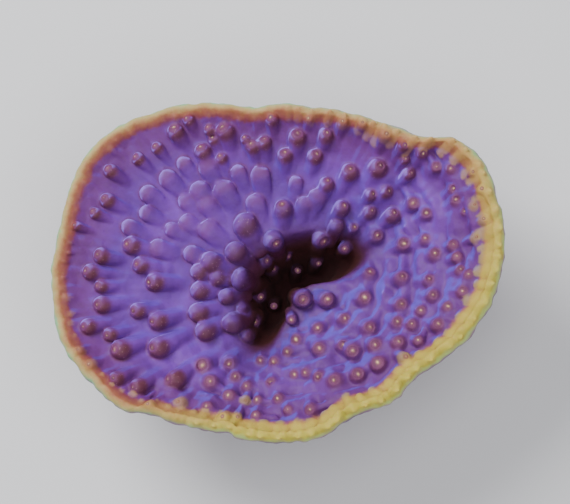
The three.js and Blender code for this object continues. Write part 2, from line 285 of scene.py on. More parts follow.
def lip_radius(azimuth):
    return LIP_RADIUS_FAR + (LIP_RADIUS_NEAR - LIP_RADIUS_FAR) * (1 + nearness(azimuth)) / 2


def curve_between(before, start, end, after, t):
    """A point between start and end, on a smooth curve through four points."""
    bend = 2 * before - 5 * start + 4 * end - after
    twist = 3 * start - before - 3 * end + after
    return start + 0.5 * ((end - before) * t + bend * t**2 + twist * t**3)


def closed_curve(points, steps=16):
    """A smooth closed curve through points."""
    points = np.array(points)
    t = np.linspace(0, 1, steps, endpoint=False)[None, :, None]
    four = [np.roll(points, shift, axis=0)[:, None] for shift in (1, 0, -1, -2)]
    return curve_between(*four, t).reshape(-1, 2)


def open_curve(points, samples):
    """A smooth curve through a list of arrays of points, as an array with its samples on the second axis."""
    points = [2 * points[0] - points[1], *points, 2 * points[-1] - points[-2]]
    spans = len(points) - 3
    curve = []
    for place in np.linspace(0, spans, samples):
        span = min(int(place), spans - 1)
        curve.append(curve_between(*points[span:span + 4], place - span))
    return np.stack(curve, axis=1)


def polar(arms):
    return np.arctan2(arms[..., 1], arms[..., 0]), np.hypot(arms[..., 0], arms[..., 1])


def reach_table(axis, points):
    azimuths, reaches = polar(closed_curve(points) - axis)
    order = np.argsort(azimuths)
    return azimuths[order], reaches[order]


def azimuth_in_photo(x, y):
    return math.atan2(THROAT_MIDDLE_IN_PHOTO[1] - y, x - THROAT_MIDDLE_IN_PHOTO[0])


CUP_AXIS = from_photo(*THROAT_MIDDLE_IN_PHOTO, THROAT_LIP_HEIGHT)
MARGIN_PLAN = [from_photo(x, y, margin_height(azimuth_in_photo(x, y))) for x, y in MARGIN_IN_PHOTO]
THROAT_PLAN = [from_photo(x, y, throat_lip_height(azimuth_in_photo(x, y))) for x, y in THROAT_IN_PHOTO]
MARGIN_TABLE = reach_table(CUP_AXIS, MARGIN_PLAN)
THROAT_TABLE = reach_table(CUP_AXIS, THROAT_PLAN)
MARGIN_CURVE = closed_curve(MARGIN_PLAN)
PLAN_MIDDLE = np.array([*(MARGIN_CURVE.min(axis=0) + MARGIN_CURVE.max(axis=0)) / 2, 0])


def margin_reach(azimuth):
    return np.interp(azimuth, *MARGIN_TABLE, period=TURN)


def throat_reach(azimuth):
    return np.interp(azimuth, *THROAT_TABLE, period=TURN)


def stalk_reach(azimuth, flare):
    turned = azimuth - NEAR_BEARING
    wide = np.cos(turned) / (NECK_HALF_WIDTH + flare)
    long = np.sin(turned) / (NECK_HALF_LENGTH + flare)
    return 1 / np.hypot(wide, long)


def way_out(azimuth, distance):
    """How far out over the dish a place is: 0 at the throat's lip and 1 at the margin."""
    throat = throat_reach(azimuth)
    return clamp01((distance - throat) / (margin_reach(azimuth) - throat))


def dish_height(azimuth, distance):
    low = throat_lip_height(azimuth)
    return low + (margin_height(azimuth) - low) * way_out(azimuth, distance)**DISH_CURVE


def cup_height(azimuth, distance):
    """Height of the cup's inner face: a steep throat, a rising dish, and a fillet up to the margin's lip."""
    low = throat_lip_height(azimuth)
    floor = THROAT_LIP_HEIGHT - THROAT_DEPTH
    inner = floor + (low - floor) * (distance / throat_reach(azimuth))**THROAT_SQUARENESS
    lip_start = margin_reach(azimuth) - lip_radius(azimuth)
    rise = margin_height(azimuth) - dish_height(azimuth, lip_start)
    fillet = rise * smooth_step(-LIP_FILLET, 0, distance - lip_start)
    far_side = smooth_step(0.7, -0.2, nearness(azimuth))
    fillet *= NEAR_FILLET_SHARE + (1 - NEAR_FILLET_SHARE) * far_side
    return soft_min(inner, dish_height(azimuth, distance), SHOULDER_ROUNDING) + fillet


def height_at(place):
    azimuth, distance = polar(place - CUP_AXIS)
    return cup_height(azimuth, distance)


def wall_normal(place):
    """The direction that the smooth inner face of the cup faces at a place, or at an array of places."""
    step = 0.5
    slopes = [(height_at(place + e) - height_at(place - e)) / (2 * step) for e in step * np.eye(2)]
    normal = np.stack([-slopes[0], -slopes[1], np.ones_like(slopes[0])], -1)
    return normal / np.linalg.norm(normal, axis=-1, keepdims=True)


def outside_curve(azimuth, samples):
    """The outside of the cup, from the margin down to the foot, at an array of azimuths."""
    margin = margin_reach(azimuth)
    lip = lip_radius(azimuth)
    inner_end = np.maximum(throat_reach(azimuth), stalk_reach(azimuth, 0))

    def below(out, thicker):
        """Under the dish, this share of the way out, and this many wall thicknesses down."""
        distance = inner_end + (margin - inner_end) * out
        return np.stack([distance, dish_height(azimuth, distance) - WALL_THICKNESS * thicker], -1)

    def stalk(flare, height):
        return np.stack([stalk_reach(azimuth, flare), np.full_like(azimuth, height)], -1)

    return open_curve([
        np.stack([margin - lip * 0.45, margin_height(azimuth) - lip * 1.9], -1),
        below(0.75, 1.05),
        below(0.45, 1.25),
        below(0.18, 1.75),
        stalk(1.6, (NECK_HEIGHT + THROAT_LIP_HEIGHT) / 2),
        stalk(0, NECK_HEIGHT),
        stalk(BASE_FLARE, BASE_EDGE),
    ], samples)


def wall_rings():
    """The cup's wall as azimuths by rows of points, from the throat's floor over the margin to the foot.

    Also gives the row that the margin's lip starts at, and the row that the outside starts at.
    """
    azimuth = np.linspace(0, TURN, AZIMUTHS, endpoint=False)
    column = azimuth[:, None]
    throat = throat_reach(column)
    margin = margin_reach(column)
    lip = lip_radius(column)
    inner = np.concatenate([
        throat * np.linspace(0.01, 1, THROAT_ROWS)[None],
        throat + (margin - lip - throat) * np.linspace(0.01, 0.99, DISH_ROWS)[None],
    ], axis=1)
    inner_height = cup_height(np.broadcast_to(column, inner.shape), inner)
    bend = np.radians(np.linspace(100, -50, LIP_ROWS))[None]
    lip_points = margin - lip + lip * np.cos(bend)
    lip_height = margin_height(column) - lip + lip * np.sin(bend)
    outside = outside_curve(azimuth, OUTSIDE_ROWS)
    foot = stalk_reach(column, BASE_FLARE) * np.array([[1, 0.98, 0.5, 0.01]])
    distance = np.concatenate([inner, lip_points, outside[..., 0], foot], axis=1)
    height = np.concatenate([inner_height, lip_height, outside[..., 1], np.zeros_like(foot)], axis=1)
    x = CUP_AXIS[0] + distance * np.cos(column)
    y = CUP_AXIS[1] + distance * np.sin(column)
    return np.stack([x, y, height], -1), inner.shape[1], inner.shape[1] + bend.shape[1]


def grid_normals(points):
    """Which way a grid of points, closed round its first axis, faces at each point."""
    around = np.roll(points, -1, axis=0) - np.roll(points, 1, axis=0)
    along = np.gradient(points, axis=1)
    normals = np.cross(around, along)
    return -normals / np.maximum(np.linalg.norm(normals, axis=-1, keepdims=True), 1e-9)


def noise_field(points, size, seed):
    """Smooth noise between -1 and 1 over an array of points, with features of about this size."""
    flat = (points.reshape(-1, 3) / size + seed).tolist()
    return np.array([noise.noise(p) for p in flat]).reshape(points.shape[:-1])


def webs(points, corals):
    """Low ridges along the lines half way between neighbouring corallites, from 0 to 1."""
    first = np.full(points.shape[:-1], 1e3)
    second = first.copy()
    for coral in corals:
        reach = np.linalg.norm(points - coral["head"], axis=-1)
        second = np.minimum(second, np.maximum(first, reach))
        first = np.minimum(first, reach)
    azimuth, distance = polar(points[..., :2] - CUP_AXIS)
    out = way_out(azimuth, distance)
    line = clamp01(1 - (second - first) / WEB_WIDTH)**1.5
    broken = smooth_step(-0.4, 0.4, noise_field(points, 8, 4.4))
    where = smooth_step(-0.5, 0.5, nearness(azimuth)) * smooth_step(0.02, 0.2, out)
    where *= smooth_step(0.97, 0.85, out)
    return line * broken * where * smooth_step(9, 6, first)


def pleats(azimuth, distance):
    """Folds in the wall that run along the near and right part of the margin, at most 1 high."""
    places = np.stack([azimuth * PLEATS_PER_RADIAN, distance / PLEAT_WIDTH, 0 * distance], -1)
    out = way_out(azimuth, distance)
    where = smooth_step(-0.4, 0.3, nearness(azimuth)) * smooth_step(0.05, 0.35, out)
    where *= smooth_step(0.94, 0.8, out)
    return np.maximum(noise_field(places, 1, 9.3), -PLEAT_SINK) * where


def surface_relief(points, lip_start, outside_start, corals):
    """How far each point of the wall stands proud: ribs inside, knobs on the margin, growth rings outside."""
    azimuth, distance = polar(points[..., :2] - CUP_AXIS)
    out = way_out(azimuth, distance)
    near = (1 + nearness(azimuth)) / 2
    row = np.arange(points.shape[1])[None]
    relief = 0.35 * noise_field(points, 11, 3.1) + 0.14 * noise_field(points, 4, 7.7)
    wander = 0.6 * noise_field(points, 9, 1.3)

    ribs = np.sin(RIBS_AROUND * azimuth + 3 * wander)
    ribs = ribs + 0.6 * np.sin(BROAD_RIBS_AROUND * azimuth + 1 + 4 * wander)
    inside = (row < lip_start) * smooth_step(0.25, 0.7, out) * smooth_step(1, 0.9, out)
    relief += RIB_HEIGHT * ribs * inside * (1 - 0.6 * near)
    folds = WEB_HEIGHT * webs(points, corals) + PLEAT_HEIGHT * pleats(azimuth, distance)
    relief += folds * (row < lip_start)

    lip = smooth_step(0.8, 0.93, out) * (row < outside_start + 25)
    top_of_lip = smooth_step(lip_start + 16, lip_start + 6, row)
    wave = KNOB_WAVES_AROUND * azimuth + 5 * wander + 2.2 * np.sin(9 * azimuth)
    knobs = np.abs(np.sin(wave))**0.6 - 0.6
    relief += lip * LIP_LUMP_HEIGHT * noise_field(points, 2.6, 5.2) * (0.9 + 0.4 * near)
    relief += lip * KNOB_HEIGHT * near**2 * knobs * top_of_lip

    outside = (row >= outside_start) * (0.7 + 0.3 * smooth_step(0, 0.2, out))
    rings = np.sin(TURN * (margin_reach(azimuth) - distance) / RING_SPACING + 2.5 * wander)
    relief += outside * (RING_HEIGHT * rings + OUTSIDE_RIB_HEIGHT * ribs)
    return np.where(points[..., 2] < 0.5, 0, relief)


def closed_quads(columns, rows):
    """Faces between the points of a grid that is closed round its columns."""
    index = np.arange(columns * rows).reshape(columns, rows)
    turned = np.roll(index, -1, axis=0)
    return np.stack([index[:, :-1], turned[:, :-1], turned[:, 1:], index[:, 1:]], -1).reshape(-1, 4)


def unit(vector):
    return vector / np.linalg.norm(vector)


def chances(place, count):
    """Numbers from 0 to 1 that belong to a place and don't change from one run to the next."""
    return [0.5 + 0.5 * noise.cell(Vector((37 * place[0], 37 * place[1], seed))) for seed in range(count)]


def corallite_list():
    """Each corallite's head, calice axis, tail and radius, worked out from its place in the photograph."""
    found = []
    for part in CORALLITES.values():
        for x, y, width_in_photo in part["at"]:
            width = width_in_photo * MM_PER_PIXEL * part["swell"]
            radius = width / 2
            place = from_photo(x, y, MARGIN_HEIGHT)
            for _ in range(6):
                place = from_photo(x, y, height_at(place) + part["lift"] * width)
            normal = wall_normal(place)
            out = np.array([*unit(place - CUP_AXIS), 0])
            uphill = unit(out - (out @ normal) * normal)
            chance = chances((x, y), 5)
            lean = math.radians(part["lean"] + LEAN_SCATTER * (chance[0] - 0.5))
            sideways = np.cross(normal, uphill) * SIDEWAYS_SCATTER * (chance[1] - 0.5)
            axis = unit(normal * math.cos(lean) + (uphill + sideways) * math.sin(lean))
            mouth = part["mouth"] * (0.8 + 0.35 * chance[2])
            head = np.array([*place, height_at(place) + part["lift"] * width])

            def foot_at(direction, distance, below):
                """A point this many widths away, and this many radii under the wall there."""
                foot = place + direction[:2] * distance * width
                return np.array([*foot, min(height_at(foot), head[2] + width) - below * radius])

            along = np.array([-out[1], out[0], 0])
            found.append(dict(
                head=head, axis=axis, normal=normal, radius=radius, flat=part["flat"],
                tail=foot_at(-out, part["tail"], TAIL_BELOW_WALL), tail_radius=radius * part["tail_width"],
                fold=foot_at(along, part["fold"], FOLD_BELOW_WALL) if part["fold"] else None,
                mouth=head + axis * math.sqrt(1 - mouth**2) * radius, mouth_radius=mouth * radius,
                rounding=part["base"] * radius, crest=np.zeros(3),
                lee_shade=part["lee_shade"], gold=part["gold"] * (0.35 + 0.9 * chance[3]), pale=part["pale"],
                spot=0.13 + 0.12 * chance[4],
            ))
    return found


def margin_buds():
    """Small young corallites that crowd the growing margin, larger on its near and right sides."""
    buds = []
    azimuth = 0.0
    while azimuth < TURN:
        chance = chances((azimuth, 1), 4)
        near = (1 + nearness(azimuth)) / 2
        crowded = max(0, math.cos(azimuth - CROWDED_BEARING))**2
        radius = 0.4 + 0.6 * near + 0.6 * chance[0]**2 + 0.5 * crowded
        inward = 2.2 + 2.6 * near + 1.6 * chance[1] + 1.0 * crowded
        spacing = 2.4 + 2.6 * chance[2]
        distance = margin_reach(azimuth) - inward
        place = CUP_AXIS + distance * np.array([math.cos(azimuth), math.sin(azimuth)])
        head = np.array([*place, height_at(place) - 0.1 * radius])
        # The larger ones grow out of the lip. The others lie on the wall, with a tail towards the throat.
        on_lip = crowded + near > 0.7
        length = 1.2 - inward if on_lip else radius * (1.8 + 9 * (1 - near) * chance[3])
        end = place + length * unit(CUP_AXIS - place)
        tail = np.array([*end, height_at(end) - 0.9 * radius * (1 - on_lip)])
        buds.append(dict(
            head=head, tail=tail, normal=wall_normal(place), flat=0.6, radius=radius,
            tail_radius=0.6 * radius, rounding=0.5 * radius, fold=None,
            crest=tail - head if on_lip else 0.01 * (tail - head)))
        azimuth += spacing / distance
    return buds


def voxel_part(low, shape, middle, reach):
    """The slices of the voxel block within reach of a point, and the places of their voxels."""
    first = np.maximum(np.floor((middle - reach) / VOXEL).astype(int) - low, 0)
    last = np.minimum(np.ceil((middle + reach) / VOXEL).astype(int) - low + 1, shape)
    slices = tuple(slice(a, b) for a, b in zip(first, last))
    axes = [(np.arange(a, b) + o) * VOXEL for a, b, o in zip(first, last, low)]
    return slices, np.stack(np.meshgrid(*axes, indexing="ij"), -1)


def round_cone(places, big_end, small_end, big, small):
    """Distance from a cone with ball ends of two radii."""
    span = small_end - big_end
    length2 = span @ span
    taper = big - small
    slant2 = length2 - taper**2
    arm = places - big_end
    along = arm @ span
    beyond = along - length2
    side2 = ((arm * length2 - along[..., None] * span)**2).sum(-1)
    edge = taper**2 * side2
    at_small = np.sign(beyond) * slant2 * beyond**2 * length2 > edge
    at_big = np.sign(along) * slant2 * along**2 * length2 < edge
    small_ball = np.sqrt(side2 + beyond**2 * length2) / length2 - small
    big_ball = np.sqrt(side2 + along**2 * length2) / length2 - big
    cone = (np.sqrt(side2 * slant2 / length2) + along * taper) / length2 - big
    return np.where(at_small, small_ball, np.where(at_big, big_ball, cone))


def add_cone(block, low, big_end, small_end, big, small, rounding, normal, flat):
    """Joins a cone with ball ends, flattened towards the wall, into the block of distances."""
    middle = (big_end + small_end) / 2
    room_for_join = 3
    reach = np.linalg.norm(big_end - small_end) / 2 + big + room_for_join
    slices, places = voxel_part(low, block.shape, middle, reach)
    tall = ((places - big_end) @ normal) * (1 / flat - 1)
    body = round_cone(places + tall[..., None] * normal, big_end, small_end, big, small) * flat
    block[slices] = soft_min(block[slices], body, rounding)


def add_corallite(block, low, coral):
    """Joins a rounded head into the block, with its tapering tail and its fold along the margin."""
    radius = coral["radius"]
    if coral["fold"] is not None:
        start = coral["head"] - coral["normal"] * FOLD_BELOW_HEAD * radius
        add_cone(block, low, start, coral["fold"], FOLD_START * radius, FOLD_END * radius,
                 FOLD_ROUNDING * radius, coral["normal"], 1)
    add_cone(block, low, coral["head"], coral["tail"], radius, coral["tail_radius"], coral["rounding"],
             coral["normal"], coral["flat"])


def open_ones(corals):
    """The corallites that show a calice, and not only their backs."""
    return [coral for coral in corals if coral["mouth_radius"]]


def hollow_calice(block, low, coral):
    """Takes a flattened ball out of the block where a corallite's calice opens."""
    slices, places = voxel_part(low, block.shape, coral["mouth"], coral["radius"] + 1)
    arm = places - coral["mouth"]
    along = arm @ coral["axis"]
    across2 = np.maximum((arm**2).sum(-1) - along**2, 0)
    wide = coral["mouth_radius"]
    deep = CALICE_DEPTH * coral["radius"]
    hollow = (np.sqrt(across2 / wide**2 + (along / deep)**2) - 1) * deep
    block[slices] = -soft_min(-block[slices], hollow, RIM_ROUNDING)


def coral_surface(corals, buds):
    """The whole colony as one closed surface, as points and quads in millimetres."""
    rings, lip_start, outside_start = wall_rings()
    rings = rings + grid_normals(rings) * surface_relief(rings, lip_start, outside_start, corals)[..., None]
    rings[..., 2] = np.maximum(rings[..., 2], 0)
    points = rings.reshape(-1, 3).astype(np.float32)
    quads = closed_quads(*rings.shape[:2]).astype(np.uint32)
    transform = openvdb.createLinearTransform(voxelSize=VOXEL)
    grid = openvdb.FloatGrid.createLevelSetFromPolygons(
        points, quads=quads, transform=transform, halfWidth=BAND_VOXELS)
    low, high = grid.evalActiveVoxelBoundingBox()
    low = np.array(low) - PAD_VOXELS
    shape = tuple(int(n) for n in np.array(high) + PAD_VOXELS + 1 - low)
    block = np.empty(shape, np.float32)
    grid.copyToArray(block, ijk=tuple(int(n) for n in low))
    for coral in corals + buds:
        add_corallite(block, low, coral)
    for coral in open_ones(corals):
        hollow_calice(block, low, coral)
    joined = openvdb.FloatGrid(BAND_VOXELS * VOXEL)
    joined.copyFromArray(block, ijk=tuple(int(n) for n in low))
    joined.transform = transform
    return joined.convertToQuads(0.0)


def in_metres(points):
    """Where points of the cup, in millimetres, are in the scene, which is in metres and centred in plan."""
    return (points - PLAN_MIDDLE) * MM


def mesh_from_arrays(name, points, faces):
    """A Blender mesh from points in millimetres and faces that all have as many corners."""
    mesh = bpy.data.meshes.new(name)
    mesh.vertices.add(len(points))
    mesh.vertices.foreach_set("co", in_metres(points).astype(np.float32).ravel())
    sides = faces.shape[1]
    mesh.loops.add(faces.size)
    mesh.loops.foreach_set("vertex_index", faces.astype(np.int32).ravel())
    mesh.polygons.add(len(faces))
    mesh.polygons.foreach_set("loop_start", np.arange(0, faces.size, sides, dtype=np.int32))
    mesh.polygons.foreach_set("use_smooth", np.ones(len(faces), bool))
    mesh.update(calc_edges=True)
    mesh.validate()
    return mesh


def link(name, data):
    """Puts a mesh, a light or a camera into the scene as an object."""
    thing = bpy.data.objects.new(name, data)
    bpy.context.scene.collection.objects.link(thing)
    return thing


def apply_modifiers(piece):
    graph = bpy.context.evaluated_depsgraph_get()
    mesh = bpy.data.meshes.new_from_object(piece.evaluated_get(graph))
    piece.modifiers.clear()
    piece.data = mesh


def thin_out(piece, most, spare):
    """Collapses a mesh to this many triangles, with the fewest on the vertices that can spare them."""
    triangles = sum(len(p.vertices) - 2 for p in piece.data.polygons)
    group = piece.vertex_groups.new(name="spare")
    group.add(np.nonzero(spare)[0].tolist(), 1.0, "REPLACE")
    group.add(np.nonzero(~spare)[0].tolist(), 0.5, "REPLACE")
    modifier = piece.modifiers.new("Thin out", "DECIMATE")
    modifier.ratio = most / triangles
    modifier.vertex_group = group.name
    modifier.vertex_group_factor = EVENNESS
    apply_modifiers(piece)
    piece.vertex_groups.clear()


def store(mesh, name, values):
    """Keeps a number for each vertex under a name, for a material to read."""
    layer = mesh.attributes.new(name, "FLOAT", "POINT")
    layer.data.foreach_set("value", np.asarray(values, np.float32))


def points_of(mesh):
    """A mesh's points, back in millimetres of the cup."""
    points = np.empty(len(mesh.vertices) * 3, np.float32)
    mesh.vertices.foreach_get("co", points)
    return points.reshape(-1, 3).astype(float) / MM + PLAN_MIDDLE


def skin_noise(points):
    """How far the surface of the colony stands out by noise, so that no head is a perfect ball."""
    return 0.16 * noise_field(points, 2.4, 21.0) + 0.06 * noise_field(points, 0.9, 33.0)


def roughen(mesh):
    """Moves the fine mesh in and out by noise, most of all in the throat, and leaves the cut foot flat."""
    points = points_of(mesh)
    depth = clamp01((THROAT_LIP_HEIGHT - points[:, 2]) / THROAT_DEPTH) * (1 - outside_share(points))
    amount = skin_noise(points) + 0.7 * depth * noise_field(points, 3.5, 41.0)
    amount *= smooth_step(0.3, 1.5, points[:, 2])
    moved = in_metres(points + normals_of(mesh) * amount[:, None])
    mesh.vertices.foreach_set("co", moved.astype(np.float32).ravel())
    mesh.update()


def normals_of(mesh):
    normals = np.empty(len(mesh.vertices) * 3, np.float32)
    mesh.vertices.foreach_get("normal", normals)
    return normals.reshape(-1, 3).astype(float)


def bulge(mesh):
    """How sharply the surface bulges at each vertex, per millimetre: above 0 on crests, below in creases."""
    points = points_of(mesh)
    normals = normals_of(mesh)
    ends = np.empty(len(mesh.edges) * 2, np.int32)
    mesh.edges.foreach_get("vertices", ends)
    a, b = ends.reshape(-1, 2).T
    span = points[b] - points[a]
    bend = ((normals[b] - normals[a]) * span).sum(-1) / np.maximum((span**2).sum(-1), 1e-4)
    count = np.bincount(a, minlength=len(points)) + np.bincount(b, minlength=len(points))
    for _ in range(2):
        total = np.bincount(a, bend, len(points)) + np.bincount(b, bend, len(points))
        value = total / np.maximum(count, 1)
        bend = (value[a] + value[b]) / 2
    return value


def outside_share(points):
    """0 on the cup's inner face and margin, 1 on its outside, its stalk and its foot."""
    azimuth, distance = polar(points[:, :2] - CUP_AXIS)
    upper = cup_height(azimuth, np.minimum(distance, margin_reach(azimuth)))
    return smooth_step(1.6, 3.2, upper - points[:, 2])


def corallite_masks(coral, places, far):
    """Shares of 0 to 1, at places near a corallite, of its head, its back, its painted lee-side shade and its
    calice.
    """
    radius = coral["radius"]
    wide = coral["mouth_radius"] / radius
    facing = (places - coral["head"]) @ coral["axis"] / np.maximum(far * radius, 1e-6)
    from_mouth = (places - coral["mouth"]) / radius
    along = from_mouth @ coral["axis"]
    across = np.sqrt(np.maximum((from_mouth**2).sum(-1) - along**2, 0)) - wide
    return {
        "head": smooth_step(1.4, 0.95, far) * smooth_step(-0.9, 0.3, facing),
        "back": smooth_step(1.6, 1.2, far) * (wide == 0),
        "lee_shade": coral["lee_shade"] * smooth_step(1.3, 0.85, far),
        "calice": smooth_step(0.42, 0.06, across) * smooth_step(0.5, 0.3, np.abs(along)) * (wide > 0),
        "bud": coral["pale"] * smooth_step(1.5, 1.0, far),
    }


def paint_masks(mesh, corals, buds):
    """Stores on each vertex where it is on the colony, for the material to colour by."""
    points = points_of(mesh)
    azimuth, distance = polar(points[:, :2] - CUP_AXIS)
    inside = 1 - outside_share(points)
    masks = {name: np.zeros(len(points)) for name in ("head", "back", "lee_shade", "calice", "bud")}
    for coral in corals + buds:
        crest = coral["crest"]
        arm = points - coral["head"]
        reach = 2.5 * coral["radius"] + np.linalg.norm(crest)
        close = np.nonzero((arm**2).sum(-1) < reach**2)[0]
        share = clamp01(arm[close] @ crest / max(crest @ crest, 1e-6))
        far = np.linalg.norm(arm[close] - share[:, None] * crest, axis=-1) / coral["radius"]
        if "axis" in coral:
            found = corallite_masks(coral, points[close], far)
        else:
            found = {"bud": smooth_step(1.25, 0.95, far)}
        for name, values in found.items():
            masks[name][close] = np.maximum(masks[name][close], values)
    masks.update(
        from_margin=margin_reach(azimuth) - distance,
        into_throat=(throat_reach(azimuth) - distance) * inside,
        depth=(THROAT_LIP_HEIGHT - points[:, 2]) * inside,
        height=points[:, 2],
        near=nearness(azimuth),
        outside=1 - inside,
        # sunny: how far the surface turns towards the light beyond the smooth wall, which the material paints
        # light and shade by
        sunny=(normals_of(mesh) - wall_normal(points[:, :2])) @ SUNNY * inside,
        bulge=bulge(mesh),
    )
    for name, values in masks.items():
        store(mesh, name, values)


def calice_floors(corals):
    """The floor of each calice as a closed button, ribbed by septa, with a columella in its middle."""
    turn = np.linspace(0, TURN, FLOOR_SPOKES, endpoint=False)[:, None]
    across = np.array([FLOOR_RINGS])
    under = np.array([FLOOR_DROPS])
    septum = np.cos(SEPTA * turn) * smooth_step(0.15, 0.45, across) * smooth_step(1.0, 0.85, across)
    columella = COLUMELLA_HEIGHT * np.exp(-(across / 0.22)**2)
    height = SEPTUM_HEIGHT * septum + columella - 0.06 * across**4 - FLOOR_BELOW_RIM - under
    x, y = across * np.cos(turn), across * np.sin(turn)
    halo = 0.14 * np.exp(-(across / 0.4)**2)
    all_points, all_faces, all_gold, all_pale = [], [], [], []
    for number, coral in enumerate(corals):
        axis = coral["axis"]
        side = unit(np.cross(coral["head"] - coral["tail"], axis))
        up = np.cross(axis, side)
        wide = coral["mouth_radius"] * FLOOR_OVERLAP
        points = coral["mouth"] + wide * (x[..., None] * side + y[..., None] * up)
        points = points + (height * coral["radius"] + skin_noise(points))[..., None] * axis
        # A golden spot, taller than it is wide, a little off the middle
        off = [0.22 * noise.noise(Vector((number * 1.7, seed, 0))) for seed in (0.5, 7.5)]
        spot = halo + np.exp(-(((x - off[0])**2 + ((y - off[1]) / 1.4)**2) / coral["spot"]**2))
        all_points.append(points.reshape(-1, 3))
        all_faces.append(closed_quads(FLOOR_SPOKES, across.size) + number * FLOOR_SPOKES * across.size)
        all_gold.append((spot * coral["gold"] * (under < 0.1)).ravel())
        all_pale.append(np.full(spot.size, coral["pale"]))
    mesh = mesh_from_arrays("calice_floors", np.concatenate(all_points), np.concatenate(all_faces))
    store(mesh, "gold", np.concatenate(all_gold))
    store(mesh, "pale", np.concatenate(all_pale))
    return link("calice_floors", mesh)


def set_inputs(node, values):
    for name, value in values.items():
        node.inputs[name].default_value = value


class Nodes:
    """A short way to build a material's node tree."""

    def __init__(self, name):
        self.material = bpy.data.materials.new(name)
        self.material.use_nodes = True
        self.tree = self.material.node_tree
        self.shader = self.tree.nodes["Principled BSDF"]

    def add(self, kind, **values):
        node = self.tree.nodes.new(kind)
        for key, value in values.items():
            setattr(node, key, value)
        return node

    def join(self, source, target):
        self.tree.links.new(source, target)

    def mask(self, name):
        return self.add("ShaderNodeAttribute", attribute_name=name).outputs["Fac"]

    def put(self, socket, value):
        if isinstance(value, bpy.types.NodeSocket):
            self.join(value, socket)
        elif isinstance(value, tuple) and len(value) == 3 and socket.type == "RGBA":
            socket.default_value = (*value, 1)
        else:
            socket.default_value = value

    def math(self, operation, a, b, clamp=False):
        node = self.add("ShaderNodeMath", operation=operation, use_clamp=clamp)
        self.put(node.inputs[0], a)
        self.put(node.inputs[1], b)
        return node.outputs[0]

    def times(self, a, b):
        return self.math("MULTIPLY", a, b)

    def larger(self, a, b):
        return self.math("MAXIMUM", a, b)

    def range(self, value, low, high, to_low=0.0, to_high=1.0):
        """Goes smoothly from one value to another while the input goes from low to high."""
        node = self.add("ShaderNodeMapRange", interpolation_type="SMOOTHSTEP")
        self.put(node.inputs["Value"], value)
        self.put(node.inputs["From Min"], low)
        self.put(node.inputs["From Max"], high)
        self.put(node.inputs["To Min"], to_low)
        self.put(node.inputs["To Max"], to_high)
        return node.outputs["Result"]

    def mix(self, share, a, b, blend="MIX"):
        node = self.add("ShaderNodeMix", data_type="RGBA", blend_type=blend)
        self.put(node.inputs["Factor"], share)
        self.put(node.inputs[6], a)
        self.put(node.inputs[7], b)
        return node.outputs[2]

    def coat(self, color, coats):
        """Lays coats over a colour, each given as where it is, how much it covers there, and its colour."""
        for where, cover, paint in coats:
            color = self.mix(self.times(where, cover), color, rgb(*paint))
        return color

    def noise(self, scale, detail=3.0, roughness=0.5):
        where = self.add("ShaderNodeTexCoord").outputs["Object"]
        node = self.add("ShaderNodeTexNoise")
        self.join(where, node.inputs["Vector"])
        set_inputs(node, {"Scale": scale, "Detail": detail, "Roughness": roughness})
        return node.outputs["Fac"]

    def ramp(self, value, stops):
        """Colours by a value from 0 to 1, through stops given as places and screen colours."""
        node = self.add("ShaderNodeValToRGB")
        self.put(node.inputs["Fac"], value)
        elements = node.color_ramp.elements
        while len(elements) < len(stops):
            elements.new(0.5)
        for element, (position, color) in zip(elements, stops):
            element.position = position
            element.color = (*rgb(*color), 1)
        return node.outputs["Color"]


def rgb(red, green, blue):
    """A colour from screen values 0 to 255."""
    def linear(value):
        share = value / 255
        return share / 12.92 if share <= 0.04045 else ((share + 0.055) / 1.055)**2.4
    return linear(red), linear(green), linear(blue)


def finish_tissue(n, color, fine, strength, dullness):
    """Gives a material its colour and the moist, finely grained, slightly see-through look of live tissue."""
    n.join(color, n.shader.inputs["Base Color"])
    roughness = n.larger(n.range(fine, 0.2, 0.8, 0.42, 0.62), dullness)
    n.join(roughness, n.shader.inputs["Roughness"])
    bump = n.add("ShaderNodeBump")
    set_inputs(bump, {"Strength": strength, "Distance": 0.0003})
    n.join(fine, bump.inputs["Height"])
    n.join(bump.outputs["Normal"], n.shader.inputs["Normal"])
    set_inputs(n.shader, {
        "Specular IOR Level": 0.22,
        "Subsurface Weight": 0.35,
        "Subsurface Radius": (0.0012, 0.0006, 0.0014),
        "Subsurface Scale": 1.0,
    })
    return n.material


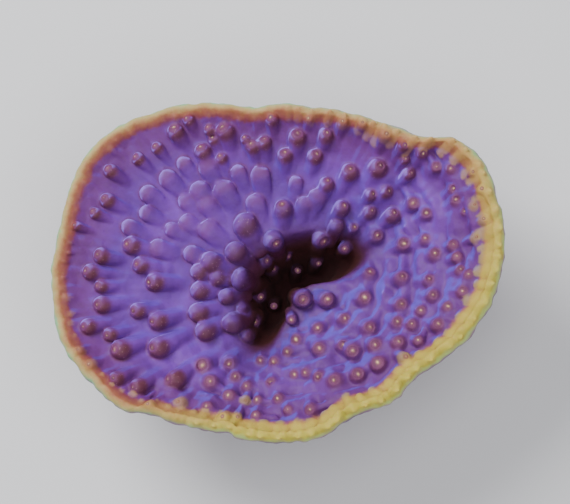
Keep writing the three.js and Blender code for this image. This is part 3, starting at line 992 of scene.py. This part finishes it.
def flesh_color(n, near, crease_shade, blotch, fine):
    """The purple tissue of the inner face, with painted light and shade: blue where it turns to the light,
    pale painted highlights on its lit rims, darker and brown on the lee side of the heads, and darker in the
    creases.
    """
    sunny = n.mask("sunny")
    head = n.mask("head")
    lee_shade = n.mask("lee_shade")
    from_margin = n.mask("from_margin")
    # painted light: bluer where the surface turns towards the light, more so on the near side
    lit = n.range(sunny, 0.02, 0.3)
    lit_cover = n.range(near, 0.0, 1.0, 0.25, 0.68)
    # painted highlight: pale lilac on the crests, rims and backs' sides turned to the light, kept out of the
    # calices
    crest = n.times(n.range(n.mask("bulge"), 0.25, 0.7), n.range(sunny, 0.0, 0.3))
    rim_highlight = n.larger(n.range(sunny, 0.68, 0.95), n.times(crest, 0.8))
    rim_highlight = n.times(rim_highlight, n.range(n.mask("calice"), 0.5, 0.0))
    rim_highlight = n.larger(rim_highlight, n.times(n.range(sunny, 0.66, 0.88), n.mask("back")))
    purple = n.mix(n.range(blotch, 0.35, 0.65), rgb(96, 50, 144), rgb(116, 62, 166))
    return n.coat(purple, [
        (n.range(from_margin, 18, 6), 0.65, (98, 42, 88)),
        (near, 0.5, (98, 54, 122)),
        (lit, lit_cover, (98, 86, 204)),
        # painted shade: darker in the creases
        (crease_shade, 0.3, (88, 40, 88)),
        (head, 0.6, (112, 56, 116)),
        (head, n.range(from_margin, 22, 12, 0.0, 0.7), (106, 54, 98)),
        # painted shade: darker on the sides turned away from the light
        (n.range(sunny, 0.2, -0.65), 0.3, (94, 42, 88)),
        # painted shade: brown on the heads' sides turned away from the light
        (n.range(sunny, 0.45, -0.3), n.times(lee_shade, 0.9), (92, 47, 54)),
        (n.mask("calice"), 0.6, (110, 58, 90)),
        # painted glints: small pale specks on the heads that take lee shade
        (n.times(n.range(fine, 0.6, 0.7), lee_shade), 0.3, (196, 160, 150)),
        (rim_highlight, 0.75, (156, 124, 240)),
    ])


def margin_color(n, near, crease_shade, flesh):
    """Lays the growing margin over the tissue: green at its edge, then tan, or yellow on the near side, with
    painted shade in the near side's creases.
    """
    wobble = n.times(n.math("SUBTRACT", n.noise(220, 5, 0.65), 0.5), 3.2)
    inward = n.math("ADD", n.mask("from_margin"), wobble)
    width = n.range(n.mask("near"), -0.4, 1.0, 5.0, 7.0)
    share = n.math("DIVIDE", inward, width, clamp=True)
    far_band = n.ramp(share, [
        (0.0, (138, 184, 132)), (0.1, (176, 166, 108)), (0.3, (172, 138, 84)),
        (0.5, (148, 90, 62)), (0.76, (122, 60, 68)), (1.0, (104, 46, 88)),
    ])
    near_band = n.ramp(share, [
        (0.0, (182, 204, 112)), (0.15, (182, 172, 62)), (0.7, (180, 152, 66)),
        (0.84, (158, 98, 76)), (1.0, (106, 50, 90)),
    ])
    # painted shade: browner in the creases of the near margin
    near_band = n.coat(near_band, [(crease_shade, 0.45, (140, 104, 58))])
    color = n.mix(n.range(share, 0.75, 1.0), n.mix(near, far_band, near_band), flesh)
    bud_color = n.mix(near, rgb(192, 152, 90), rgb(188, 172, 72))
    bud_cover = n.range(n.mask("near"), -0.9, 0.3, 0.08, 0.5)
    return n.mix(n.times(n.mask("bud"), bud_cover), color, bud_color)


def throat_shade(n, color):
    """Paints shade down the throat, and lighter shade in a band round its lip, by purple and brown to near
    black, with less of it on the heads.
    """
    into_throat = n.mask("into_throat")
    depth = n.mask("depth")
    off_heads = n.math("SUBTRACT", 1.0, n.times(n.mask("head"), 0.75))
    return n.coat(color, [
        # painted shade: a broad band round the throat's lip, then darker down into it
        (n.range(into_throat, -15, 0), 0.4, (66, 34, 92)),
        (n.range(into_throat, -4.5, 2.5), off_heads, (76, 34, 56)),
        (n.range(depth, 0, 6), off_heads, (54, 20, 20)),
        (n.range(depth, 5, 12), 1.0, (36, 13, 13)),
    ])


def outside_color(n, blotch, grain):
    """The outside: dull purple above, tan down the stalk, painted shade between the ribs, porous where it is
    cut.
    """
    height = n.mask("height")
    under = n.mix(n.range(blotch, 0.3, 0.7), rgb(112, 82, 118), rgb(156, 128, 138))
    under = n.coat(under, [
        (n.range(height, 16, 4), 1.0, (170, 148, 128)),
        # painted shade: darker in the grooves between the ribs
        (n.range(n.mask("bulge"), -0.03, -0.4), 0.6, (74, 52, 66)),
    ])
    cut = n.mix(n.range(grain, 0.42, 0.5), rgb(150, 132, 116), rgb(216, 204, 186))
    return n.mix(n.range(height, 0.5, 0.2), under, cut)


def coral_material():
    n = Nodes("coral surface")
    blotch = n.noise(90)
    grain = n.noise(700, 3, 0.6)
    fine = n.noise(1400, 4, 0.6)
    near = n.range(n.mask("near"), -0.1, 0.8)
    # painted shade in the creases, where the surface bends inwards
    crease_shade = n.range(n.mask("bulge"), -0.1, -0.6)
    color = flesh_color(n, near, crease_shade, blotch, fine)
    color = margin_color(n, near, crease_shade, color)
    color = throat_shade(n, color)
    color = n.mix(n.mask("outside"), color, outside_color(n, blotch, grain))
    color = n.mix(n.range(grain, 0.3, 0.7, 0.0, 0.3), color, rgb(210, 190, 240), "SOFT_LIGHT")
    return finish_tissue(n, color, fine, 0.4, n.range(n.mask("depth"), 0, 4))


def calice_material():
    n = Nodes("calice floor")
    fine = n.noise(1500, 3, 0.6)
    floor = n.mix(n.range(n.noise(300, 2), 0.35, 0.65), rgb(104, 54, 88), rgb(124, 68, 104))
    color = n.coat(floor, [
        (n.mask("pale"), 1.0, (150, 104, 74)),
        (n.mask("gold"), n.range(fine, 0.3, 0.6, 0.7, 1.0), (240, 202, 150)),
    ])
    return finish_tissue(n, color, fine, 0.2, 0.0)


def pale_floor():
    half = FLOOR_HALF_WIDTH
    corners = [(-half, -half, 0), (half, -half, 0), (half, half, 0), (-half, half, 0)]
    mesh = bpy.data.meshes.new("floor")
    mesh.from_pydata(corners, [], [(0, 1, 2, 3)])
    n = Nodes("pale floor")
    set_inputs(n.shader, {"Base Color": (0.72, 0.72, 0.73, 1), "Roughness": 0.85})
    mesh.materials.append(n.material)
    floor = link("floor", mesh)


def area_light(name, place, size, watts):
    data = bpy.data.lights.new(name, "AREA")
    data.shape = "DISK"
    data.size = size
    data.energy = watts
    lamp = link(name, data)
    lamp.location = place
    lamp.rotation_euler = (Vector(LIGHTS_AIM) - Vector(place)).to_track_quat("-Z", "Y").to_euler()


def studio_light():
    area_light("key light", **KEY_LIGHT)
    area_light("soft light", **SOFT_LIGHT)
    world = bpy.data.worlds.new("studio")
    world.use_nodes = True
    set_inputs(world.node_tree.nodes["Background"], {"Color": SKY_COLOR, "Strength": SKY_STRENGTH})
    bpy.context.scene.world = world


def photo_camera():
    """Looks down at the cup as the photograph does, from far off with a long lens."""
    down_near = np.array([*(NEAR * math.cos(VIEW_TILT)), -math.sin(VIEW_TILT)])
    side = np.array([-NEAR[1], NEAR[0], 0])
    right = NEAR[0] * down_near - NEAR[1] * side
    up = NEAR[1] * down_near + NEAR[0] * side
    back = np.cross(right, up)
    middle = (np.array(PHOTO_SIZE) / 2 - PHOTO_MIDDLE) * MM_PER_PIXEL * MM
    aim = in_metres(np.array([0, 0, MARGIN_HEIGHT])) + right * middle[0] - up * middle[1]
    data = bpy.data.cameras.new("camera")
    data.sensor_width = 36
    data.lens = data.sensor_width * CAMERA_DISTANCE / (PHOTO_SIZE[0] * MM_PER_PIXEL * MM)
    data.clip_end = 10
    matrix = Matrix(np.stack([right, up, back], axis=1).tolist()).to_4x4()
    matrix.translation = Vector(aim + back * CAMERA_DISTANCE)
    camera = link("camera", data)
    camera.matrix_world = matrix
    bpy.context.scene.camera = camera


def ride_as_coral(piece, material):
    """Gives a piece its material, and says what it stands in for."""
    piece.data.materials.append(material)
    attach(piece, "root")
    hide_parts("cup_coral")


def main():
    photo_camera()
    pale_floor()
    studio_light()
    corals = corallite_list()
    buds = margin_buds()
    points, quads = coral_surface(corals, buds)
    colony = link("coral_colony", mesh_from_arrays("coral_colony", points, quads))
    roughen(colony.data)
    thin_out(colony, FACES_AT_MOST, outside_share(points) > 0.5)
    colony.data.polygons.foreach_set("use_smooth", np.ones(len(colony.data.polygons), bool))
    paint_masks(colony.data, corals, buds)
    ride_as_coral(colony, coral_material())
    ride_as_coral(calice_floors(open_ones(corals)), calice_material())


main()
